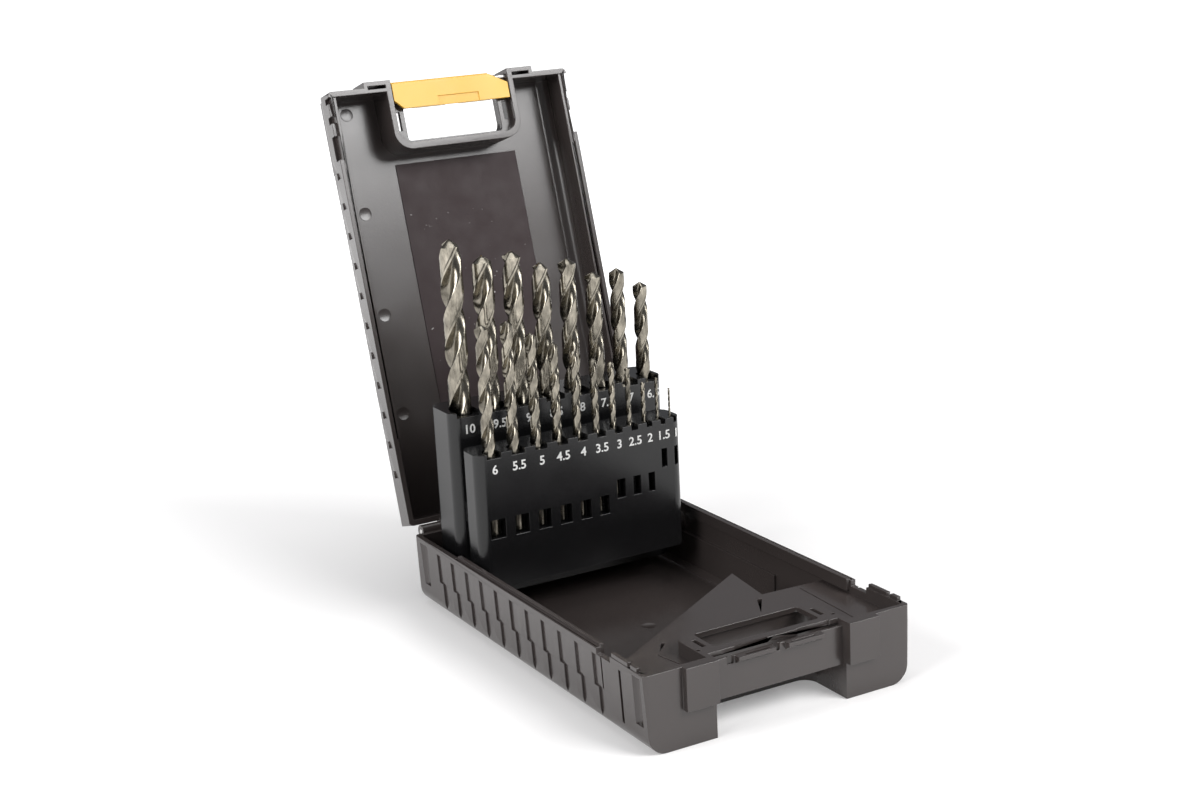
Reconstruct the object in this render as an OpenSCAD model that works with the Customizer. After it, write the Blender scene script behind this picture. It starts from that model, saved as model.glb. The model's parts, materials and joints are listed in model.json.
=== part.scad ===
// Drill bit case. A base tray and a lid are hinged at the back and share a carry
// handle at the front. Two drill racks fold up out of the tray on a rod as the lid
// opens, lifted by a link, and a latch hangs from a pin in the lid's handle.
// The case is drawn open. Millimetres, X to the right, Y to the back, Z up, with
// the origin in the middle of the tray's flat underside.

/* [Case] */
// Width of both shells at the rim
case_w = 123; // [118:1:136]
// Depth of both shells from the front wall to the back wall
case_d = 200; // [198:1:215]
// Height of the base tray, ground to rim
base_h = 32.5; // [32:0.5:36]
// Height of the lid, rim to outer face
lid_h = 19; // [18.5:0.5:24]
// Thickness of the side, front and back walls
wall_t = 2.5; // [2:0.1:3]
// Thickness of the tray's floor
floor_t = 2.2; // [1.6:0.1:2.6]
// Thickness of the lid's outer face
lid_face_t = 2; // [1.6:0.1:2.4]
// How far the tray's sides lean in over their height
base_draft = 1.5; // [0.5:0.1:2.5]
// How far the lid's sides lean in over their height
lid_draft = 2; // [0.5:0.1:2.5]
// Radius of the long edges between sides and faces
edge_r = 8; // [5:0.5:10]
// Radius of the upright corners
corner_r = 2; // [1:0.5:4]
// Angle of the open lid, measured from closed
open_angle = 106.5; // [95:0.5:115]

/* [Side ribs] */
// Number of overlapping ribs along each side
rib_count = 11; // [4:1:12]
// Distance from one rib to the next
rib_pitch = 13.85; // [12:0.05:14]
// Height of each rib's step
rib_step = 0.8; // [0.4:0.1:1]
// Distance from the front wall to the first step
rib_first = 39; // [36:1:44]
// How far the lower half of each step lies in front of the upper half
rib_shift = 3.2; // [1:0.2:5]

/* [Handle] */
// Width of the frame around the finger window
frame_w = 65.2; // [60:0.5:70]
// Distance from the front wall to the back of the frame
frame_back = 28.4; // [26:0.2:29]
// Outer radius of the frame's back corners
frame_r = 8.5; // [5:0.5:10]
// Thickness of the frame's wall
frame_t = 2.4; // [1.8:0.1:2.6]
// Thickness of the frame's top plate
plate_t = 2.2; // [1.6:0.1:3]
// Width of the finger window
window_w = 48.6; // [40:0.2:50]
// Distance from the front wall to the front of the finger window
window_front = 9.4; // [9:0.1:12]
// Distance from the front wall to the back of the finger window
window_back = 24.6; // [20:0.1:25]
// Height of the deck beside and behind the frame
deck_z = 27; // [25:0.5:28]
// Distance from the front wall to the tray's front bar
bar_y = 2.2; // [1.8:0.1:2.6]
// Thickness of the tray's front bar
bar_t = 1.3; // [1:0.1:1.5]
// Height of the lower edge of the tray's front bar
bar_z = 14; // [10:0.5:18]
// Height of the top of the tray's front bar
bar_top = 30.3; // [29.6:0.1:30.8]
// How far the pads stand proud of the front wall
pad_t = 2.7; // [2:0.1:3]
// Width of each pad from the recess outwards
pad_w = 14.5; // [10:0.5:18]
// How far the lid's plate and bar are sunk below the rim
lid_plate_sink = 4.2; // [4:0.1:5]

/* [Latch] */
// Width of the latch
latch_w = 59.2; // [50:0.2:59.4]
// Length of the latch from its pivot to its free end
latch_len = 10.5; // [10:0.1:11]
// Thickness of the latch's flap
flap_t = 1.7; // [1.2:0.1:2]
// Distance from the latch's pivot to its outer face
latch_face = 3.2; // [2.8:0.1:3.4]
// Height of the latch's pivot above the rim
latch_rise = 3.5; // [3.4:0.1:4]
// Radius of the latch's pin
latch_pin_r = 1.25; // [1:0.05:1.4]

/* [Hinge] */
// Distance of the hinge's axis behind the back wall
hinge_back = 3.25; // [3.2:0.05:4]
// Outer radius of the hinge's knuckles
knuckle_r = 3; // [2.4:0.1:3]
// Radius of the hinge's pin
hinge_pin_r = 1.25; // [1:0.05:1.5]
// Radial clearance of every pin in its hole
pin_clear = 0.06; // [0.02:0.01:0.09]

/* [Racks] */
// Thickness of the front rack
front_rack_t = 16.5; // [14:0.5:17]
// Thickness of the rear rack
rear_rack_t = 22.5; // [20:0.5:23]
// Gap between the two racks
rack_gap = 6.5; // [5.5:0.1:7]
// Gap behind the rear rack
rack_back_gap = 6.5; // [5.5:0.5:9]
// Height of the front rack's top
front_rack_top = 80.5; // [76:0.5:84]
// Height of the rear rack's top
rear_rack_top = 94; // [90:0.5:98]
// Left end of both racks, measured from the middle
rack_left = 54; // [52:0.5:55]
// Right end of the front rack, measured from the middle
front_rack_right = 48.5; // [48:0.5:53]
// Right end of the rear rack, measured from the middle
rear_rack_right = 53.5; // [52:0.5:54]
// Radius of the racks' upright edges
rack_r = 5; // [2:0.5:6]
// Radius of the rod that the racks turn on
rod_r = 2; // [1.5:0.1:2.2]
// Space under the folded racks
fold_gap = 0.8; // [0.5:0.1:1.2]

/* [Drills] */
// Largest drill, at the left of the rear row
rear_drill = 10; // [10:0.5:10]
// Number of drills in the rear row
rear_count = 8; // [4:1:8]
// Largest drill of the front row
front_drill = 6; // [6:0.5:6]
// Number of drills in the front row
front_count = 11; // [4:1:11]
// Step from one drill size to the next
drill_step = 0.5; // [0.5:0.1:0.5]
// Radial clearance of a shank in its pocket
pocket_clear = 0.2; // [0.1:0.05:0.3]
// Height of the rear row's pocket floors
rear_pocket_z = 36; // [32:0.5:36]
// Included angle of the drills' points
point_angle = 118; // [100:1:140]
// Lead of the flutes as a number of diameters
flute_lead = 5.44; // [4:0.1:7]

/* [Hidden] */
$fn = 48;
e = 0.01;
half = case_w / 2;
base_half = half - base_draft;
lid_half = half - lid_draft;
hinge_y = case_d + hinge_back;
hinge_z = base_h - 0.4;
lid_top = base_h + lid_h;
lid_ceiling = lid_top - lid_face_t;
frame_half = frame_w / 2;
recess_half = frame_half - frame_t;
recess_back = frame_back - frame_t;
strip_y = bar_y + bar_t + 1.7;
strip_t = 3.4;

// Racks: the front rack's face lies just above the floor when the racks are folded
rear_back_y = case_d - wall_t - rack_back_gap;
rear_face_y = rear_back_y - rear_rack_t;
front_back_y = rear_face_y - rack_gap;
front_face_y = front_back_y - front_rack_t;
rod_y = rear_face_y - 2.1;
rod_z = floor_t + fold_gap + rod_y - front_face_y;
front_rack_z = rod_z - 3.9;
rear_rack_z = 8;
lug_r = rod_y - front_back_y - 0.1;
front_row_y = front_face_y + 4.9;
rear_row_y = rear_face_y + 8.2;

// Lift link between a stub on the lid and a stub on the rear rack
link_x = 54.9;
link_t = 2;
lid_stub = [-14, 9];
rack_stub = [13, 13.9];
stub_r = 1.4;
link_w = 4.8;
stub_play = 0.9;

// ---- Rows of drills ----

// Distance between drills i and i + 1 of a row whose first drill has diameter first
function row_step(first, gap, spread, i) =
  gap + spread * (first - drill_step * (i + 0.5));
function row_x(start, first, gap, spread, i) =
  i == 0 ? start : row_x(start, first, gap, spread, i - 1) + row_step(first, gap, spread, i - 1);
function rear_x(i) = row_x(-rack_left + 8.5, rear_drill, 5.1, 1, i);
function front_x(i) = row_x(-rack_left + 8.3, front_drill, 5, 1.17, i);

// Overall length and flute length of a jobber drill of diameter d
function drill_len(d) =
  d > 9.5 ? 133 : d > 8.5 ? 125 : d > 7.5 ? 117 : d > 6.7 ? 109 : d > 6 ? 101 :
  d > 5.3 ? 93 : d > 4.8 ? 86 : d > 4.2 ? 80 : d > 3.7 ? 75 : d > 3.3 ? 70 :
  d > 2.7 ? 61 : d > 2.3 ? 57 : d > 1.9 ? 49 : d > 1.3 ? 40 : 34;
function flute_len(d) =
  d > 9.5 ? 87 : d > 8.5 ? 81 : d > 7.5 ? 75 : d > 6.7 ? 69 : d > 6 ? 63 :
  d > 5.3 ? 57 : d > 4.8 ? 52 : d > 4.2 ? 47 : d > 3.7 ? 43 : d > 3.3 ? 39 :
  d > 2.7 ? 33 : d > 2.3 ? 30 : d > 1.9 ? 24 : d > 1.3 ? 18 : 12;
// The long drills stop short of the handle when the racks are folded
tip_limit = rod_y + rod_z - frame_back - 1.9;
function rear_floor(d) = min(rear_pocket_z, d < rear_drill ? tip_limit - drill_len(d) : rear_pocket_z);
function front_floor(d) = d > 3.2 ? 43 : d > 1.7 ? 49 : 59;

// ---- Helpers ----

// Everything is built with Y = 0 at the front wall and then moved to the origin
module placed() {
  translate([0, -case_d / 2, 0]) children();
}

// Turns parts drawn in the closed lid to the open lid
module opened() {
  translate([0, hinge_y, hinge_z]) rotate([-open_angle, 0, 0])
    translate([0, -hinge_y, -hinge_z]) children();
}

// Extrudes an X-Z outline along Y
module along_y(y0, y1) {
  translate([0, y1, 0]) rotate([90, 0, 0]) linear_extrude(height = y1 - y0) children();
}

// Extrudes a Y-Z outline along X
module along_x(x0, x1) {
  translate([x0, 0, 0]) rotate([90, 0, 90]) linear_extrude(height = x1 - x0) children();
}

module rod_x(x0, x1, y, z, r) {
  translate([x0, y, z]) rotate([0, 90, 0]) cylinder(h = x1 - x0, r = r);
}

module box(x0, x1, y0, y1, z0, z1) {
  translate([x0, y0, z0]) cube([x1 - x0, y1 - y0, z1 - z0]);
}

// Rectangle from corner to corner with round corners
module round_rect(x0, x1, y0, y1, r) {
  translate([x0 + r, y0]) square([x1 - x0 - 2 * r, y1 - y0]);
  translate([x0, y0 + r]) square([x1 - x0, y1 - y0 - 2 * r]);
  for (x = [x0 + r, x1 - r], y = [y0 + r, y1 - r]) translate([x, y]) circle(r);
}

// Cross-section of a shell: flat face at 0, rim at h, leaning sides, round edges
module shell_outline(face_half, rim_half, h, r) {
  a = atan((rim_half - face_half) / h);
  cx = face_half + r * tan(a) - r / cos(a);
  tx = cx + r * cos(a);
  tz = r - r * sin(a);
  polygon([[-cx, 0], [cx, 0], [tx, tz], [rim_half, h], [-rim_half, h], [-tx, tz]]);
  for (s = [-1, 1]) translate([s * cx, r]) circle(r);
}

// Solid form of a shell, drawn as a tray with its rim at h
module shell_form(face_half, h) {
  intersection() {
    along_y(0, case_d) shell_outline(face_half, half, h, edge_r);
    linear_extrude(height = h) round_rect(-half, half, 0, case_d, corner_r);
  }
}

// Space inside a shell between y0 and y1, open past the rim
module shell_space(face_half, h, face_t, y0, y1) {
  lean = (half - face_half) / h;
  translate([0, 0, face_t]) along_y(y0, y1)
    shell_outline(face_half + lean * face_t - wall_t, half + lean - wall_t, h - face_t + 1,
      edge_r - wall_t);
}

// Handle outline seen from above: a tongue from the front with round back corners
module handle_outline(half_w, back, r) {
  translate([-half_w, -8]) square([2 * half_w, back + 8 - r]);
  translate([-half_w + r, -8]) square([2 * (half_w - r), back + 8]);
  for (s = [-1, 1]) translate([s * (half_w - r), back - r]) circle(r);
}

// ---- Side ribs ----

// One side's overlapping ribs, cut into a leaning wall whose rim runs along Y at Z = 0
module rib_cuts(z_top, z_mid, z_low) {
  for (i = [0:rib_count - 1]) {
    y = rib_first + i * rib_pitch;
    run = rib_pitch * 0.7;
    translate([0, y, z_mid]) linear_extrude(height = z_top - z_mid)
      polygon([[0, -run], [-rib_step, 0], [2, 0], [2, -run]]);
    translate([0, y - rib_shift, z_low]) linear_extrude(height = z_mid - z_low)
      polygon([[0, -run], [-rib_step, 0], [2, 0], [2, -run]]);
  }
}

module both_sides() {
  children();
  mirror([1, 0, 0]) children();
}

// ---- Base tray ----

// Plan of the sunk floor: its front edge runs across the tray at a slant
module floor_plan(grow) {
  offset_y = grow;
  polygon([[-half - 1, 22.9 + offset_y], [33.1 - grow * 0.4, 84.3 + offset_y * 0.6],
    [29.2 - grow * 0.4, 56.1 + offset_y], [half + 1, 54.4 + offset_y],
    [half + 1, case_d - wall_t], [-half - 1, case_d - wall_t]]);
}

// Plan of the hollow under the deck
module under_plan() {
  difference() {
    translate([-half, wall_t]) square([case_w, 82]);
    translate([0, -floor_t * 1.4]) floor_plan(0);
    translate([-floor_t, -floor_t]) floor_plan(0);
    handle_outline(frame_half, frame_back, frame_r);
  }
}

module tray_hollows() {
  // Over the sunk floor
  intersection() {
    shell_space(base_half, base_h, floor_t, wall_t, case_d - wall_t);
    translate([0, 0, -1]) linear_extrude(height = base_h + 3) floor_plan(0);
  }
  // Over the deck, around the handle's frame
  intersection() {
    shell_space(base_half, base_h, floor_t, wall_t, case_d - wall_t);
    difference() {
      box(-half, half, 0, case_d, deck_z, base_h + 2);
      linear_extrude(height = base_h + 3) handle_outline(frame_half, frame_back, frame_r);
    }
  }
  // Under the deck, open to the ground
  intersection() {
    shell_space(base_half, base_h, floor_t, wall_t, case_d - wall_t);
    translate([0, 0, -1]) linear_extrude(height = deck_z - floor_t + 1) under_plan();
  }
  intersection() {
    box(-base_half + edge_r + 0.8, base_half - edge_r - 0.8, 0, case_d, -1, floor_t + 1);
    translate([0, 0, -2]) linear_extrude(height = floor_t + 4) under_plan();
  }
}

// Recess between the front towers, with the finger window and slots in its top
module handle_recess() {
  difference() {
    translate([0, 0, -1]) linear_extrude(height = base_h - plate_t + 1)
      handle_outline(recess_half, recess_back, frame_r - frame_t);
    // The front bar closes the recess above its lower edge
    box(-recess_half - 1, recess_half + 1, bar_y, bar_y + bar_t, bar_z, base_h);
  }
  // Front of the bar is open above the bar's top
  box(-recess_half, recess_half, -8, strip_y, bar_top, base_h + 1);
  box(-recess_half, recess_half, -8, bar_y, bar_z - 1, base_h + 1);
  // Finger window
  translate([0, 0, bar_z]) linear_extrude(height = base_h)
    round_rect(-window_w / 2, window_w / 2, window_front, window_back, 1.5);
  // Slots at both ends of the window
  for (s = [-1, 1])
    box(s * 27.5 - 0.9, s * 27.5 + 0.9, 11.8, 19.4, bar_z, base_h + 1);
}

module bar_catches() {
  for (s = [-1, 1])
    along_x(s < 0 ? -20 : 3, s < 0 ? -3 : 20)
      polygon([[bar_y + e, bar_top], [-0.7, bar_top], [-0.7, bar_top - 1.6], [bar_y + e, bar_top - 3.3]]);
}

module base_shell() {
  lean = atan(base_draft / base_h);
  color([0.36, 0.34, 0.33]) placed() difference() {
    union() {
      difference() {
        union() {
          shell_form(base_half, base_h);
          both_sides() box(recess_half, recess_half + pad_w, -pad_t, 1, 15, base_h);
        }
        tray_hollows();
        handle_recess();
        // Ribs, slit, groove and flute of the sides
        both_sides() translate([half, 0, base_h]) rotate([0, lean, 0]) {
          rib_cuts(-3, -base_h / 2, -base_h - 1);
          box(-1.1, 2, 32, 33, -16.5, -2);
          box(-1.6, 2, 17.5, 19, -25, -3.5);
          translate([1.2, 6, -21.5]) cylinder(h = 19.5, r = 3);
        }
        // Groove that lets the lid's rim find its place
        both_sides() box(half - wall_t + 1, half - wall_t + 1.7, 36, 160, base_h - 1, base_h + 1);
      }
      bar_catches();
      // Knuckles on the back wall
      for (x = [-52, 0, 52]) {
        w = x == 0 ? 12 : 5;
        rod_x(x - w, x + w, hinge_y, hinge_z, knuckle_r);
        box(x - w, x + w, case_d - 1, hinge_y, hinge_z - knuckle_r, hinge_z);
      }
      // Sockets that carry the racks' rod
      both_sides() rod_x(56.4, half - 1.4, rod_y, rod_z, rod_r + 2.2);
    }
    rod_x(-half, half, hinge_y, hinge_z, hinge_pin_r + pin_clear);
    rod_x(-half + 2, half - 2, rod_y, rod_z, rod_r + pin_clear);
  }
}

// ---- Lid ----

module lid_in_place() {
  translate([0, 0, lid_top]) mirror([0, 0, 1]) children();
}

module lid_shell() {
  lean = atan(lid_draft / lid_h);
  plate_z = base_h + lid_plate_sink;
  axis_z = base_h + latch_rise;
  color([0.42, 0.40, 0.39]) placed() opened() difference() {
    union() {
      difference() {
        union() {
          lid_in_place() shell_form(lid_half, lid_h);
          both_sides() box(29, 43.5, -pad_t, 1, base_h, lid_top - 6);
        }
        lid_in_place() difference() {
          shell_space(lid_half, lid_h, lid_face_t, wall_t, case_d - wall_t);
          linear_extrude(height = lid_h + 2) handle_outline(frame_half, frame_back + 1.6, frame_r);
        }
        // Hollow inside each pad
        both_sides() box(31, 41.5, -pad_t + 2, 0.8, base_h - 1, base_h + 6);
        // Recess for the hand, open to the outside
        translate([0, 0, plate_z + plate_t]) linear_extrude(height = lid_h)
          handle_outline(recess_half - 1, recess_back, frame_r - frame_t);
        // Sunk plate, seen from inside
        translate([0, 0, base_h - 1]) linear_extrude(height = lid_plate_sink + 1)
          handle_outline(recess_half - 0.2, recess_back + 0.8, frame_r - frame_t);
        // The front is open down to the bar
        box(-recess_half + 0.2, recess_half - 0.2, -8, 2, base_h - 1, lid_top + 1);
        // Finger window and end slots
        translate([0, 0, base_h]) linear_extrude(height = lid_h)
          round_rect(-window_w / 2, window_w / 2, window_front + 0.6, window_back + 1, 1.5);
        for (s = [-1, 1])
          box(s * 27.5 - 0.9, s * 27.5 + 0.9, 12, 20.6, base_h, base_h + 12);
        both_sides() translate([half, 0, base_h]) rotate([0, -lean, 0])
          mirror([0, 0, 1]) rib_cuts(-3, -lid_h / 2, -lid_h - 1);
      }
      // Handle bar that carries the latch
      along_x(-recess_half - 1, recess_half + 1) round_rect(2, 8.2, plate_z, plate_z + 9, 2);
      // Ears at both ends hold the latch's pin
      both_sides() box(recess_half - 0.2, frame_half, -1.5, 3, base_h, base_h + 8);
      // Knuckles on the back wall
      for (s = [-1, 1]) {
        rod_x(s * 29.5 - 17.2, s * 29.5 + 17.2, hinge_y, hinge_z, knuckle_r);
        box(s * 29.5 - 17.2, s * 29.5 + 17.2, case_d - 1, hinge_y, hinge_z, hinge_z + 4);
      }
      // Boss for the lift link
      rod_x(link_x + link_t + 0.3, half - 1.6, hinge_y + lid_stub[0], hinge_z + lid_stub[1], 3.2);
    }
    // Room for the latch's barrel
    rod_x(-latch_w / 2 - 0.3, latch_w / 2 + 0.3, 0.5, axis_z, 2.8);
    rod_x(-half, half, hinge_y, hinge_z, hinge_pin_r + pin_clear);
    rod_x(-frame_half + 0.8, frame_half - 0.8, 0.5, axis_z, latch_pin_r + pin_clear);
    rod_x(link_x, half - 2.2, hinge_y + lid_stub[0], hinge_z + lid_stub[1], stub_r);
  }
}

module lid_panel() {
  color([0.2, 0.16, 0.15]) placed() opened()
    box(-28, 35, 34.2, 150, lid_ceiling - 0.4, lid_ceiling);
}

module hinge_pin() {
  color([0.7, 0.7, 0.7]) placed() rod_x(-57, 57, hinge_y, hinge_z, hinge_pin_r);
}

// ---- Latch ----

module latch() {
  axis_z = base_h + latch_rise;
  hw = latch_w / 2;
  bevel = 9;
  color([0.95, 0.76, 0.1]) placed() opened() translate([0, 0.5, axis_z]) difference() {
    union() {
      // Flap with a slanted corner at its top right and lower left
      translate([0, 0, -latch_face]) linear_extrude(height = flap_t)
        polygon([[-hw, -1.5], [hw - bevel, -1.5], [hw, 3.2], [hw, latch_len], [-hw + 4.5, latch_len],
          [-hw, latch_len - 4]]);
      // Barrel around the pin, blended into the flap
      rod_x(-hw, hw, 0, 0, 2.45);
      box(-hw + 0.5, hw - bevel, -1.5, 1.5, -latch_face + 0.5, 0);
      box(-hw + 0.5, hw - 1, 0.5, 2.4, -latch_face + 0.5, 0);
      // Lips that catch under the tray's front bar
      for (s = [-1, 1])
        along_x(s < 0 ? -20 : 3.5, s < 0 ? -3.5 : 20)
          polygon([[latch_len - 2.2, -latch_face + flap_t - e], [latch_len, -latch_face + flap_t - e],
            [latch_len, -0.1], [latch_len - 0.8, 0.4], [latch_len - 1.6, 0.4]]);
    }
    rod_x(-hw - 1, hw + 1, 0, 0, latch_pin_r + pin_clear);
    // Finger recess in the outer face
    box(-7.4, 13.6, 6.3, latch_len + 1, -latch_face - 1, -latch_face + 0.6);
    // Room for the slanted corner
    translate([hw - bevel, -1.5, -latch_face - 1]) rotate([0, 0, atan(4.7 / bevel)])
      translate([0, -8, 0]) cube([bevel * 2, 8, 6]);
  }
}

module latch_pin() {
  color([0.7, 0.7, 0.7]) placed() opened()
    rod_x(-frame_half + 1, frame_half - 1, 0.5, base_h + latch_rise, latch_pin_r);
}

// ---- Racks ----

module front_rack() {
  color([0.09, 0.09, 0.1]) placed() difference() {
    union() {
      translate([0, 0, front_rack_z]) linear_extrude(height = front_rack_top - front_rack_z)
        round_rect(-rack_left, front_rack_right, front_face_y, front_back_y, rack_r);
      // Saddles that rest against the rod
      for (x = [-28, 22])
        box(x - 4, x + 4, front_back_y - 1, rod_y - 0.3, rod_z - 3.5, rod_z + 3.5);
    }
    rod_x(-half, half, rod_y, rod_z, rod_r + pin_clear);
    for (i = [0:front_count - 1]) {
      d = front_drill - drill_step * i;
      zf = front_floor(d);
      translate([front_x(i), front_row_y, zf]) cylinder(h = 80, d = d + 2 * pocket_clear);
      // Window that shows the end of the shank
      box(front_x(i) - d / 2 - 0.6, front_x(i) + d / 2 + 0.6, front_face_y - 1, front_row_y,
        zf - 0.5, zf + 8);
      // Notch in the top edge in front of each drill
      box(front_x(i) - d / 2 - 0.4, front_x(i) + d / 2 + 0.4, front_face_y - 1, front_row_y,
        front_rack_top - 2.2, front_rack_top + 1);
    }
    rack_seats();
  }
}

module rear_rack() {
  color([0.09, 0.09, 0.1]) placed() difference() {
    union() {
      translate([0, 0, rear_rack_z]) linear_extrude(height = rear_rack_top - rear_rack_z)
        round_rect(-rack_left, rear_rack_right, rear_face_y, rear_back_y, rack_r);
      // Lugs that turn on the rod
      for (x = [-49, 0, 49]) {
        w = x == 0 ? 4 : 3.5;
        rod_x(x - w, x + w, rod_y, rod_z, lug_r);
        box(x - w, x + w, rod_y, rear_face_y + 1, rod_z - lug_r, rod_z + lug_r);
      }
    }
    rod_x(-half, half, rod_y, rod_z, rod_r + pin_clear);
    for (i = [0:rear_count - 1]) {
      d = rear_drill - drill_step * i;
      translate([rear_x(i), rear_row_y, rear_floor(d)]) cylinder(h = 90, d = d + 2 * pocket_clear);
      box(rear_x(i) - d / 2 - 0.4, rear_x(i) + d / 2 + 0.4, rear_face_y - 1, rear_row_y,
        rear_rack_top - 2.2, rear_rack_top + 1);
    }
    rod_x(rear_rack_right - 1.8, rear_rack_right + 1, rod_y + rack_stub[0], rod_z + rack_stub[1], stub_r);
    rack_seats();
  }
}

// Sockets in the facing sides of both racks for the clips that join them
module rack_seats() {
  for (x = [-48, 42])
    box(x - 2, x + 2, front_back_y - 3, rear_face_y + 3, 45, 54);
}

module rack_clips() {
  color([0.12, 0.12, 0.13]) placed() for (x = [-48, 42])
    box(x - 2, x + 2, front_back_y - 3, rear_face_y + 3, 45, 54);
}

module rack_rod() {
  color([0.7, 0.7, 0.7]) placed() rod_x(-half + 2.3, half - 2.3, rod_y, rod_z, rod_r);
}

// ---- Lift link ----

lid_pin_y = hinge_y + lid_stub[0] * cos(-open_angle) - lid_stub[1] * sin(-open_angle);
lid_pin_z = hinge_z + lid_stub[0] * sin(-open_angle) + lid_stub[1] * cos(-open_angle);
rack_pin_y = rod_y + rack_stub[0];
rack_pin_z = rod_z + rack_stub[1];
link_len = norm([lid_pin_y - rack_pin_y, lid_pin_z - rack_pin_z]);
link_tilt = atan2(lid_pin_z - rack_pin_z, lid_pin_y - rack_pin_y);

module lift_link() {
  color([0.14, 0.14, 0.15]) placed() translate([link_x, rack_pin_y, rack_pin_z])
    rotate([link_tilt, 0, 0]) difference() {
      union() {
        box(0, link_t, 0, link_len, -link_w / 2 + 0.3, link_w / 2 - 0.3);
        rod_x(0, link_t, link_len, 0, link_w / 2);
        rod_x(0, link_t, 0, 0, stub_r + stub_play + 1.4);
      }
      rod_x(-1, link_t + 1, link_len, 0, stub_r + pin_clear);
      // Wide hole that gives the rack's stud some play
      rod_x(-1, link_t + 1, 0, 0, stub_r + stub_play);
    }
}

module lid_stud() {
  color([0.7, 0.7, 0.7]) placed() opened()
    rod_x(link_x - 0.3, half - 2.2, hinge_y + lid_stub[0], hinge_z + lid_stub[1], stub_r);
}

module rack_stud() {
  color([0.7, 0.7, 0.7]) placed()
    rod_x(rear_rack_right - 1.8, link_x + link_t + 0.3, rack_pin_y, rack_pin_z, stub_r);
}

// ---- Drills ----

// Twist drill of diameter d standing on its shank, with two right-hand flutes
module drill(d) {
  r = d / 2;
  flute = flute_len(d);
  point_h = r / tan(point_angle / 2);
  body = flute - point_h;
  shank = drill_len(d) - flute;
  turn = 360 / (flute_lead * d);
  cylinder(h = 0.3 * r, r1 = 0.8 * r, r2 = r);
  translate([0, 0, 0.3 * r]) cylinder(h = shank - 0.3 * r, r = r);
  sink = 0.05;
  translate([0, 0, shank - sink]) linear_extrude(height = body + sink, twist = -turn * (body + sink),
    slices = ceil(body * turn / 36), segments = 12) flute_section(0.99 * r);
  translate([0, 0, shank + body - sink]) rotate([0, 0, turn * (body + sink)])
    linear_extrude(height = point_h * 0.9, scale = 0.12, slices = 1, segments = 12)
      flute_section(0.96 * r);
}

// Section through the fluted part: two lands joined by a thin web
module flute_section(r) {
  half_outline = [[1, -32], [0.98, 0], [1, 34], [0.72, 56], [0.36, 84], [0.3, 116]];
  polygon([for (s = [0, 180]) for (p = half_outline) r * p[0] * [cos(p[1] + s), sin(p[1] + s)]]);
}

module rear_row_drill(i) {
  d = rear_drill - drill_step * i;
  color([0.75, 0.75, 0.73]) placed() translate([rear_x(i), rear_row_y, rear_floor(d)]) drill(d);
}

module front_row_drill(i) {
  d = front_drill - drill_step * i;
  color([0.75, 0.75, 0.73]) placed() translate([front_x(i), front_row_y, front_floor(d)]) drill(d);
}

base_shell();
lid_shell();
lid_panel();
hinge_pin();
latch();
latch_pin();
front_rack();
rear_rack();
rack_clips();
rack_rod();
lift_link();
lid_stud();
rack_stud();
rear_row_drill(0);  // drill_10_0
rear_row_drill(1);  // drill_9_5
rear_row_drill(2);  // drill_9_0
rear_row_drill(3);  // drill_8_5
rear_row_drill(4);  // drill_8_0
rear_row_drill(5);  // drill_7_5
rear_row_drill(6);  // drill_7_0
rear_row_drill(7);  // drill_6_5
front_row_drill(0);  // drill_6_0
front_row_drill(1);  // drill_5_5
front_row_drill(2);  // drill_5_0
front_row_drill(3);  // drill_4_5
front_row_drill(4);  // drill_4_0
front_row_drill(5);  // drill_3_5
front_row_drill(6);  // drill_3_0
front_row_drill(7);  // drill_2_5
front_row_drill(8);  // drill_2_0
front_row_drill(9);  // drill_1_5
front_row_drill(10);  // drill_1_0
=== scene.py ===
"""Detailed model of an open drill bit case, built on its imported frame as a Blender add-on."""

import json
from math import cos, pi, radians, sin, tan

import bmesh
import bpy
from bpy.props import FloatProperty, FloatVectorProperty, IntProperty, PointerProperty
from mathutils import Matrix, Vector
from mathutils.bvhtree import BVHTree

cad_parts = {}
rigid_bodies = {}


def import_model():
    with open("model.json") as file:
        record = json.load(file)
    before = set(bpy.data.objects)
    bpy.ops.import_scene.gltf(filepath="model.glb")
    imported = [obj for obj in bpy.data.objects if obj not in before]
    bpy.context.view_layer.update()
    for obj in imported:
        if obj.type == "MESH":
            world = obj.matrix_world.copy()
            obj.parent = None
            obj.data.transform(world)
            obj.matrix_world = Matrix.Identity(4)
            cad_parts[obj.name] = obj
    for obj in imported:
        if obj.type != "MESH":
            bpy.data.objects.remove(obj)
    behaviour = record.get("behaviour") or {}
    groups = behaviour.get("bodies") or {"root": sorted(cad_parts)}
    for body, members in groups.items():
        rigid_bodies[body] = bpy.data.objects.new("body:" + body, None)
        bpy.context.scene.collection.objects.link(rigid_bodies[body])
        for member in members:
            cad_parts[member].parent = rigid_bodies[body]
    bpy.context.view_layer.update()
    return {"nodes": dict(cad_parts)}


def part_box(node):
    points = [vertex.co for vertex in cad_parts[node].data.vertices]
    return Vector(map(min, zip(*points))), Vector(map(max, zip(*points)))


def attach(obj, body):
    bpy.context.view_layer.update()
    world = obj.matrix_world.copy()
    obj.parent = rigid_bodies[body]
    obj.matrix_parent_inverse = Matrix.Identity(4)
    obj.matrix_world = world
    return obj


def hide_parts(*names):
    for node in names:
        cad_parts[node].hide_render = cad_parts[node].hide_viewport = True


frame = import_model()

bl_info = {
    "name": "Drill Bit Case",
    "version": (1, 0, 0),
    "blender": (4, 5, 0),
    "location": "View3D > Sidebar > Drill Case",
    "description": "Builds the open drill bit case on its packed frame",
    "category": "Add Mesh",
}

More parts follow.
